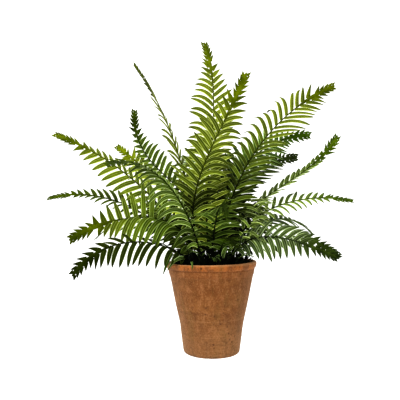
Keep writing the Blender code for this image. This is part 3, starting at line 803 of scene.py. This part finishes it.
def grid_faces(rows, columns):
    """Faces of a closed flat shell: an upper and a lower grid joined round their edges."""
    upper = np.arange(rows * columns).reshape(rows, columns)
    lower = upper + rows * columns
    faces = []
    for row in range(rows - 1):
        for column in range(columns - 1):
            faces.append((upper[row, column], upper[row, column + 1],
                          upper[row + 1, column + 1], upper[row + 1, column]))
            faces.append((lower[row, column], lower[row + 1, column],
                          lower[row + 1, column + 1], lower[row, column + 1]))
        for column, turn in ((0, 1), (columns - 1, -1)):
            edge = (upper[row, column], upper[row + 1, column],
                    lower[row + 1, column], lower[row, column])
            faces.append(edge[::turn])
    for column in range(columns - 1):
        faces.append((upper[0, column], lower[0, column],
                      lower[0, column + 1], upper[0, column + 1]))
        faces.append((upper[-1, column], upper[-1, column + 1],
                      lower[-1, column + 1], lower[-1, column]))
    return np.array(faces)


LEAFLET_FACES = grid_faces(len(ALONG), len(ACROSS))
BLADE_GRID = np.stack(np.meshgrid(ALONG, ACROSS, indexing="ij"), axis=-1).reshape(-1, 2)


def leaflet_points(start, direction, across, hand, length, width, point, hang, draw):
    """Points of one leaflet: it springs up from the rib, arches over and hangs at its tip."""
    down = np.array([0.0, 0.0, -1.0])
    direction = np.array(direction)
    across = np.array(across)
    twist = math.radians(draw.uniform(-20.0, 20.0))
    bow = np.array(across) * draw.uniform(-0.16, 0.16) * (1.0 - point)
    curl = draw.uniform(0.16, 0.34)
    phase = draw.uniform(0.0, 6.28)
    ripple = draw.uniform(0.10, 0.28) * MM
    here = np.array(start)
    rows_upper = []
    rows_lower = []
    before = 0.0
    for share in ALONG:
        middle = (share + before) / 2.0
        heading = direction + (down * hang + bow) * (2.0 * middle - 0.55)
        heading /= np.linalg.norm(heading)
        here = here + heading * (share - before) * length
        before = share
        heading = direction + (down * hang + bow) * (2.0 * share - 0.55)
        heading /= np.linalg.norm(heading)
        wide = across - heading * across.dot(heading)
        wide /= np.linalg.norm(wide)
        face = np.cross(wide, heading) * hand
        turn = twist * share
        wide, face = wide * math.cos(turn) + face * math.sin(turn), face * math.cos(turn) - wide * math.sin(turn)
        waist = 0.72 + 0.28 * point
        half = width * 0.5 * min(1.0, waist + (2.6 - 2.0 * waist) * share)
        half = half * (1.0 - share ** (4.6 - 3.5 * point)) ** (0.85 + 0.2 * point) + 0.12 * MM
        crown = -curl * half * ACROSS ** 2
        crown = crown + 0.22 * MM * np.exp(-(ACROSS / 0.13) ** 2) * (1.0 - share)
        crown = crown + ripple * ACROSS ** 2 * np.sin(phase + 9.0 * share + 1.3 * np.sign(ACROSS)) * (1.0 - share)
        thick = BLADE_THICKNESS * MM * (1.0 - 0.45 * np.abs(ACROSS)) * (1.0 - 0.35 * share)
        spread = here + np.outer(ACROSS * half, wide)
        rows_upper.append(spread + np.outer(crown + thick * 0.5, face))
        rows_lower.append(spread + np.outer(crown - thick * 0.5, face))
    return np.concatenate([np.concatenate(rows_upper), np.concatenate(rows_lower)])


def tip_half_width(rib, along):
    """The rib's half width; the fused tip is slimmer than the frame's and starts earlier."""
    half = rib.section(along)[0]
    middle = TIP_HALF_WIDTH * rib.broad
    slim = min(half, middle * MM + (half - middle * MM) * TIP_SPREAD)
    early = middle - 0.06 * abs((rib.length - along) / MM - PAD_LENGTH)
    return max(slim, min(early, middle) * MM if along < rib.length - 30.0 * MM else 0.0)


def rib_rings(rib):
    """Points and faces of the rib and the fused tip: a rounded section along its length."""
    sides = 12
    marks = [-STEM_DEPTH * MM, -4.0 * MM] + spaced(-4.0 * MM, rib.length, 3.0 * MM)
    points = []
    for mark in marks:
        tangent, side, up = rib.axes(mark)
        half, thickness = rib.section(mark)
        half = tip_half_width(rib, mark)
        end = min(1.0, 0.20 + (rib.length - mark) / (9.0 * MM))
        centre = rib.at(mark) - up * thickness * 0.15
        for turn in range(sides):
            angle = 2.0 * math.pi * turn / sides
            lift = math.sin(angle) * thickness * 0.5
            if half > 2.0 * MM:
                lift *= 0.45 + 0.55 * abs(math.sin(angle)) ** 3
            points.append(centre + side * math.cos(angle) * half * end + up * lift)
    faces = []
    for ring in range(len(marks) - 1):
        low = ring * sides
        for turn in range(sides):
            after = (turn + 1) % sides
            faces.append((low + turn, low + after, low + sides + after, low + sides + turn))
    faces.append(tuple(range(sides))[::-1])
    last = (len(marks) - 1) * sides
    faces.append(tuple(range(last, last + sides)))
    reach = [mark / rib.length for mark in marks for _ in range(sides)]
    return np.array(points), faces, np.array(reach)


class BladeMesh:
    """Leaflets and ribs gathered in one mesh, with the attributes that the leaf material reads."""

    def __init__(self):
        self.points = []
        self.faces = []
        self.leaf_place = []
        self.frond_place = []
        self.lower_face = []
        self.count = 0

    def add(self, points, faces, leaf_place, frond_place, lower_face):
        """Add points and faces with a row of attributes for each point: share along the leaflet,
        across it and its tint; then share along the rib, 1 for rib, and share of fused tip."""
        self.faces.extend(tuple(int(corner) + self.count for corner in face) for face in faces)
        self.points.append(points)
        self.leaf_place.append(leaf_place)
        self.frond_place.append(frond_place)
        self.lower_face.append(lower_face)
        self.count += len(points)

    def add_blade(self, points, hand, tint, reach, pad):
        """Add one leaflet or tooth that grows at a share of the rib's length."""
        faces = LEAFLET_FACES if hand > 0 else LEAFLET_FACES[:, ::-1]
        both = np.concatenate([BLADE_GRID, BLADE_GRID])
        self.add(points, faces, np.column_stack([both, np.full(len(both), tint)]),
                 np.tile([reach, 0.0, pad], (len(both), 1)), np.repeat([0.0, 1.0], len(BLADE_GRID)))

    def finish(self, name, lights, warmths, underside_shade):
        """The mesh; its painted light and warmth change from the root half to the tip."""
        mesh = bpy.data.meshes.new(name)
        mesh.from_pydata(np.concatenate(self.points).tolist(), [], self.faces)
        frond_place = np.concatenate(self.frond_place)
        turn = np.clip((frond_place[:, 0] - 0.30) / 0.5, 0.0, 1.0)
        turn = turn * turn * (3.0 - 2.0 * turn)
        look = np.column_stack([lights[0] + (lights[1] - lights[0]) * turn,
                                warmths[0] + (warmths[1] - warmths[0]) * turn,
                                np.full(len(turn), underside_shade)])
        for title, values in (("leaf_place", np.concatenate(self.leaf_place)),
                              ("frond_place", frond_place), ("frond_look", look)):
            attribute = mesh.attributes.new(title, "FLOAT_VECTOR", "POINT")
            attribute.data.foreach_set("vector", values.astype(np.float32).ravel())
        attribute = mesh.attributes.new("lower_face", "FLOAT", "POINT")
        attribute.data.foreach_set("value", np.concatenate(self.lower_face).astype(np.float32))
        return mesh


def make_frond_mesh(name, row, order):
    """One frond's mesh, with its leaflets in the poses of the frame's frond."""
    lights, warmths, twist, folds, hangs, lengths, underside_shade, breadth = LOOKS[name]
    plain_rib = Rib(row)
    rib = Rib(row, twist)
    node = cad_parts[name]
    corners = KDTree(len(node.data.vertices))
    for index, vertex in enumerate(node.data.vertices):
        corners.insert(vertex.co, index)
    corners.balance()
    marks, first = leaflet_marks(rib)
    draw = random.Random(SEED * 100 + order)
    looks = random.Random(SEED + order * 7)
    pad_start = rib.length - PAD_LENGTH * MM

    def pad_share(along):
        """How far into the fused tip a place on the rib is."""
        return min(max(1.0 - (pad_start - along) / (PAD_FADE * MM), 0.0), 1.0)

    coarse, shorter, leaning, rib.broad = ODD_TIPS.get(name, (1.0, 0.0, 0.0, 1.0))
    gathered = BladeMesh()
    rib_points, rib_faces, reach = rib_rings(rib)
    gathered.add(rib_points, rib_faces, np.tile([0.0, 0.0, 0.5], (len(rib_points), 1)),
                 np.array([(share, 1.0, pad_share(share * rib.length)) for share in reach]),
                 np.zeros(len(rib_points)))

    def grow(along, hand, pose, wobble, sunk, stretch, width, point, hang):
        """Add one leaflet (point 0) or pointed tooth (point 1)."""
        base, direction, across, length, _ = leaflet_pose(rib, along, hand, pose, wobble)
        base -= rib.axes(along)[1] * hand * (rib.section(along)[0] - tip_half_width(rib, along))
        made = leaflet_points(base - direction * sunk, direction, across, hand,
                              length * stretch + sunk, width, point, hang, looks)
        gathered.add_blade(made, hand, looks.random(), along / rib.length, pad_share(along))

    wider = WIDER.get(name, (0.0, 0.0))
    for index in range(first, len(marks) - 1):
        wobble = (draw.uniform(*LENGTH_SPREAD), draw.uniform(-FOLD_SPREAD, FOLD_SPREAD),
                  draw.uniform(-SWEEP_SPREAD, SWEEP_SPREAD), draw.uniform(-HANG_SPREAD, HANG_SPREAD))
        hand = 1 if index % 2 else -1
        along = (marks[index] + marks[index + 1]) / 2
        if along > pad_start:
            break
        pose = found_pose(plain_rib, along, hand, wobble, corners)
        if pose is None:
            continue
        side = 0 if hand > 0 else 1
        near_tip = 1.0 - min(1.0, (pad_start - along) / (80.0 * MM))
        pose = (pose[0] + folds[side], pose[1] + wider[side],
                pose[2] * lengths[side] * (1.0 - shorter * near_tip))
        length = leaflet_size(rib, along)[0] * pose[2]
        width = LEAFLET_WIDEST * (0.60 + 0.40 * min(1.0, length / (36.0 * MM))) * MM
        point = max(0.0, 1.0 - (pad_start - along) / (POINTED_STRETCH * (1.0 + 1.2 * shorter) * MM))
        width = (width + (POINTED_WIDTH * MM - width) * point) * breadth
        grow(along, hand, pose, wobble, (0.5 + 1.5 * point) * MM, 1.0, width, point,
             (HANG + wobble[3]) * hangs[side] * (1.0 - 0.6 * point))
    for hand, to_tip in ((1, 1.5), (-1, 3.8)):
        while to_tip < PAD_LENGTH - 2.0:
            wobble = (looks.uniform(0.85, 1.15), 0.0, looks.uniform(-5.0, 5.0), 0.0)
            lean = TOOTH_LEAN + leaning - max(0.0, 18.0 - to_tip)
            grow(rib.length - to_tip * MM, hand, (0.0, lean, 1.0), wobble, 2.2 * rib.broad * MM,
                 TOOTH_REACH * min(coarse, 1.35), (TOOTH_WIDTH + TOOTH_WIDENING * to_tip) * coarse * MM, 1.0, 0.10)
            to_tip += (EDGE_TOOTH_STEP + TOOTH_STEP_GROWTH * to_tip) * coarse
    return gathered.finish(name + "_blade", lights, warmths, underside_shade)


def make_leaf(tone, deep, fresh, edge, rib_colour):
    """Satin leaf plastic: dark rib, pale midrib, edges and veins, cloudy tint, painted light and shade."""
    material, shader, point = new_material("leaf_" + tone)
    place = point.node("Attribute", {"attribute_name": "leaf_place"}, {}, "Vector")
    frond = point.node("Attribute", {"attribute_name": "frond_place"}, {}, "Vector")
    under = point.node("Attribute", {"attribute_name": "lower_face"}, {}, "Fac")
    share = place.node("SeparateXYZ", {}, {0: place}, 0)
    across = place.node("SeparateXYZ", {}, {0: place}, 1)
    tint = place.node("SeparateXYZ", {}, {0: place}, 2)
    reach = frond.node("SeparateXYZ", {}, {0: frond}, 0)
    rib = frond.node("SeparateXYZ", {}, {0: frond}, 1)
    pad = frond.node("SeparateXYZ", {}, {0: frond}, 2)
    off_middle = across.node("Math", {"operation": "ABSOLUTE"}, {0: across})
    cloud = point.spots(55.0, 3.0)
    mottle = point.spots(260.0, 3.0, roughness=0.6)
    veins = point.node("Math", {"operation": "SINE"}, {0: share * 95.0 - off_middle * 14.0})

    # Each frond's painted light or shade, its warmth, and how strong the painted shade on its undersides is.
    look = point.node("Attribute", {"attribute_name": "frond_look"}, {}, "Vector")
    light = look.node("SeparateXYZ", {}, {0: look}, 0)
    warmth = look.node("SeparateXYZ", {}, {0: look}, 1)
    shaded = under * look.node("SeparateXYZ", {}, {0: look}, 2)

    # Painted light and shade: each leaflet's half towards the rib's root is painted bright and its other half dark.
    painted_lit_half = 1.0 - across.between(-0.85, 0.15)
    blade = (0.60 * painted_lit_half + 0.30 * cloud.between(0.34, 0.66) + 0.45 * tint - 0.26).blend(deep, fresh)
    blade = (mottle.between(0.50, 0.68) * 0.35).blend(blade, deep)
    blade = (veins.between(0.2, 1.0) * 0.12).blend(blade, edge)
    blade = ((1.0 - off_middle.between(0.04, 0.20)) * (1.0 - pad) * 0.3).blend(blade, edge)
    # Painted shade deep in the crown: round an axis 30 mm behind the pot's, and below about 0.37 m, the leaves are
    # painted nearly black, except those whose tint makes them catch a painted highlight.
    level = point.node("VectorMath", {"operation": "MULTIPLY_ADD"},
                       {0: point, 1: (1.0, 1.0, 0.0), 2: (0.0, -0.030, 0.0)})
    off_axis = level.node("VectorMath", {"operation": "LENGTH"}, {0: level}, "Value")
    height = point.node("SeparateXYZ", {}, {0: point}, 2)
    crown = (1.0 - off_axis.between(0.045, 0.115)) * (1.0 - height.between(0.190, 0.370))
    painted_catchlight = crown * tint.between(0.42, 0.82)
    crown = crown - 0.88 * painted_catchlight
    blade = crown.blend(blade, (0.0015, 0.004, 0.0007))
    # Pale edges: partly the plastic's own pale margins and partly a painted highlight, dimmed by the crown's
    # painted shade.
    pale_edge_and_highlight = across.between(0.58, 0.86) * 0.60 + (1.0 - across.between(-0.92, -0.60)) * 0.95
    blade = (pale_edge_and_highlight * (1.0 - pad) * (1.0 - 0.78 * crown)).blend(blade, edge)
    # Painted shade: each leaflet is darker where it leaves the rib and towards its tip.
    blade = ((1.0 - share.between(0.0, 0.12)) * (1.0 - pad) * 0.2).blend(blade, deep)
    blade = (share.between(0.72, 1.0) * 0.6).blend(blade, deep)
    # Painted shade on the lower faces, as strong as each frond's underside share.
    blade = (shaded * 0.75).blend(blade, deep)
    tip = (0.55 * cloud.between(0.34, 0.66) + 0.2 * tint).blend(deep, fresh)
    tip = (mottle.between(0.50, 0.68) * 0.35).blend(tip, deep)
    blade = (pad * 0.8).blend(blade, tip)
    # The rib is near-black low down, partly its own dark colour and partly painted shade in the crown, and its own
    # green higher up.
    stem_dark_and_shaded = reach.between(0.20, 0.75).blend((0.002, 0.003, 0.002), rib_colour)
    colour = rib.between(0.4, 0.6).blend(blade, pad.blend(stem_dark_and_shaded, tip))
    cold = colour.node("VectorMath", {"operation": "MULTIPLY"}, {0: colour, 1: (0.72, 1.0, 1.0)})
    # Painted light: the colour is scaled by the frond's painted light, and by half as much again where a crown
    # leaflet catches a painted highlight.
    colour = light.node("VectorMath", {"operation": "SCALE"},
                        {0: warmth.blend(cold, colour), "Scale": light * (1.0 + 0.50 * painted_catchlight)})

    rough = 0.46 + 0.16 * mottle + 0.10 * under
    relief = veins * 0.16 + mottle * 0.30 + (1.0 - off_middle.between(0.0, 0.16)) * 0.25
    finish_shader(material, shader, colour, rough, relief, 0.00035)
    shader.inputs["Specular IOR Level"].default_value = 0.14
    shader.inputs["Specular Tint"].default_value = (0.75, 0.90, 0.10, 1.0)
    return material


# The bright, mid and dark leaves are partly the plastic's own greens and partly lit and shaded copies of one green:
# painted light and painted shade.
LEAVES = {
    "bright": make_leaf("bright", (0.044, 0.064, 0.001), (0.200, 0.245, 0.004), (0.620, 0.700, 0.200),
                        (0.060, 0.075, 0.004)),
    "mid": make_leaf("mid", (0.024, 0.044, 0.002), (0.115, 0.172, 0.007), (0.560, 0.660, 0.280),
                     (0.040, 0.062, 0.005)),
    "dark": make_leaf("dark", (0.008, 0.015, 0.001), (0.052, 0.078, 0.006), (0.300, 0.400, 0.100),
                      (0.014, 0.024, 0.006)),
    # A dark grey-green with a painted bluish sheen: a painted reflection of the sky in its colours.
    "cool": make_leaf("cool", (0.009, 0.018, 0.004), (0.070, 0.106, 0.018), (0.440, 0.530, 0.260),
                      (0.024, 0.036, 0.016)),
}
PAINTED_SHEEN_FRONDS = ("frond_16", "frond_17")

for order, (name, row) in enumerate(FRONDS.items()):
    leaf = LEAVES["cool" if name in PAINTED_SHEEN_FRONDS else row[0]]
    frond = add_piece(name + "_blade", make_frond_mesh(name, row, order), leaf, 50.0)
    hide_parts(name)


# Short loose leaflets, pushed into the moss one by one at the stems' feet, fill the crown.
# Three of them hang over the rim at the front left, and a group painted brighter stands right of
# the middle, as the photo shows.

STRAY_LEAFLETS = 34
SIDE_LEAFLETS = 52

# Leaflets over the rim: where they leave the moss, first direction, length, width, hang and
# the turn about their length
OVER_RIM = [((-60, -20, 152), (-0.35, -0.35, -0.75), 36, 4.6, 0.5, -0.6),
            ((-42, -46, 147), (-0.75, -0.50, -0.35), 34, 6.0, 0.8, 1.3),
            ((-30, -51, 139), (0.05, -0.80, 0.10), 22, 3.0, 1.8, 0.3)]


def make_stray_mesh():
    """The loose leaflets of the crown in one mesh."""
    draw = random.Random(23)
    gathered = BladeMesh()
    rows = list(OVER_RIM)
    for _ in range(STRAY_LEAFLETS):
        turn = draw.uniform(0.0, 2.0 * math.pi)
        radius = 46.0 * math.sqrt(draw.uniform(0.1, 1.0))
        heading = turn + draw.uniform(-0.9, 0.9)
        rise = math.radians(draw.uniform(15.0, 65.0))
        rows.append(((math.cos(turn) * radius, math.sin(turn) * radius, draw.uniform(134.0, 150.0)),
                     (math.cos(heading) * math.cos(rise), math.sin(heading) * math.cos(rise), math.sin(rise)),
                     draw.uniform(20.0, 38.0), draw.uniform(3.6, 5.4), draw.uniform(0.5, 1.2),
                     draw.uniform(-0.7, 0.7)))
    for _ in range(SIDE_LEAFLETS):
        heading = draw.uniform(-1.2, 0.2)
        rise = math.radians(draw.uniform(-30.0, 30.0))
        up = draw.uniform(0.0, 1.0)
        rows.append(((draw.uniform(30.0, 58.0) + 24.0 * up, draw.uniform(-36.0, 40.0), 160.0 + 76.0 * up),
                     (math.cos(heading) * math.cos(rise), math.sin(heading) * math.cos(rise), math.sin(rise)),
                     draw.uniform(22.0, 38.0), draw.uniform(4.0, 5.6), draw.uniform(0.2, 0.8),
                     draw.uniform(-1.2, 1.2)))
    for number, (start, direction, length, width, hang, turned) in enumerate(rows):
        direction = Vector(direction).normalized()
        level = Vector((0, 0, 1)).cross(direction).normalized()
        across = Matrix.Rotation(turned, 3, direction) @ level
        made = leaflet_points(np.array(start) * MM, direction, across, 1, length * MM, width * MM,
                              0.3, hang, draw)
        # Painted light: the leaflets right of the middle get the brighter of the two lights and higher tints, so
        # fewer sink into the crown's painted shade.
        beside = number >= len(rows) - SIDE_LEAFLETS
        tint = draw.uniform(0.3, 1.0) if beside else draw.random()
        gathered.add_blade(made, 1, tint, 0.9 if beside else draw.uniform(0.25, 0.45), 0.0)
    return gathered.finish("stray_leaflets", (0.85, 1.25), (0.6, 1.0), 0.6)


strays = add_piece("stray_leaflets", make_stray_mesh(), LEAVES["mid"], 50.0)


# The photo's studio: a white floor that glows a little like a light table, so the plant
# throws hardly any shadow on it, bright air behind the plant and dimmer air round the rest,
# which still looks white, a large soft light high in front and a weaker one beside the camera.

FLOOR_RADIUS = 14.0
FLOOR_SIDES = 96


def make_floor():
    """A round white sheet, wide enough to run out to the horizon."""
    points = [(0.0, 0.0, 0.0)]
    for side in range(FLOOR_SIDES):
        angle = 2.0 * math.pi * side / FLOOR_SIDES
        points.append((FLOOR_RADIUS * math.cos(angle), FLOOR_RADIUS * math.sin(angle), 0.0))
    faces = [(0, 1 + side, 1 + (side + 1) % FLOOR_SIDES) for side in range(FLOOR_SIDES)]
    mesh = bpy.data.meshes.new("white_floor")
    mesh.from_pydata(points, [], faces)
    floor = bpy.data.objects.new("white_floor", mesh)
    bpy.context.scene.collection.objects.link(floor)
    material, shader, point = new_material("white_paper")
    tooth = point.spots(60.0, 2.0)
    finish_shader(material, shader, tooth.blend((0.22, 0.22, 0.22), (0.24, 0.24, 0.24)),
                  0.9 + 0.02 * tooth, tooth, 0.0001)
    shader.inputs["Specular IOR Level"].default_value = 0.0
    shader.inputs["Emission Color"].default_value = (1.0, 1.0, 1.0, 1.0)
    shader.inputs["Emission Strength"].default_value = 0.93
    mesh.materials.append(material)


def add_light(name, place, target, size, power):
    """A square soft light at a place, turned to face a target."""
    lamp = bpy.data.lights.new(name, "AREA")
    lamp.size = size
    lamp.energy = power
    light = bpy.data.objects.new(name, lamp)
    bpy.context.scene.collection.objects.link(light)
    light.location = place
    light.rotation_euler = (Vector(target) - Vector(place)).to_track_quat("-Z", "Y").to_euler()


make_floor()
add_light("key_softbox", (-0.35, -0.85, 1.30), (0.0, 0.0, 0.25), 0.6, 20.0)
add_light("front_softbox", (0.7, -1.5, 0.5), (0.0, 0.0, 0.2), 0.8, 4.0)

world = bpy.data.worlds.new("studio_air")
world.use_nodes = True
air = world.node_tree.nodes["Background"]
compass = Shade(world.node_tree.nodes.new("ShaderNodeTexCoord").outputs["Generated"])
behind = compass.node("SeparateXYZ", {}, {0: compass}, 1).between(0.25, 0.74)
sky = behind.blend((0.36, 0.36, 0.36), (1.06, 1.06, 1.06))
looked_at = compass.node("LightPath", {}, {}, "Is Camera Ray")
sky = looked_at.blend(sky, (1.06, 1.06, 1.06))
world.node_tree.links.new(sky.socket, air.inputs["Color"])
air.inputs["Strength"].default_value = 1.0
bpy.context.scene.world = world
bpy.context.scene.view_settings.view_transform = "Standard"
bpy.context.scene.view_settings.look = "High Contrast"

CAMERA_PLACE = (-0.018, -0.705, 0.200)
CAMERA_RISE = math.atan(21.3 / 450.0)
lens = bpy.data.cameras.new("photo_camera")
lens.sensor_width = 36.0
lens.lens = 40.5
lens.clip_start = 0.01
camera = bpy.data.objects.new("photo_camera", lens)
bpy.context.scene.collection.objects.link(camera)
camera.location = CAMERA_PLACE
camera.rotation_euler = (math.pi / 2.0 + CAMERA_RISE, 0.0, 0.0)
bpy.context.scene.camera = camera
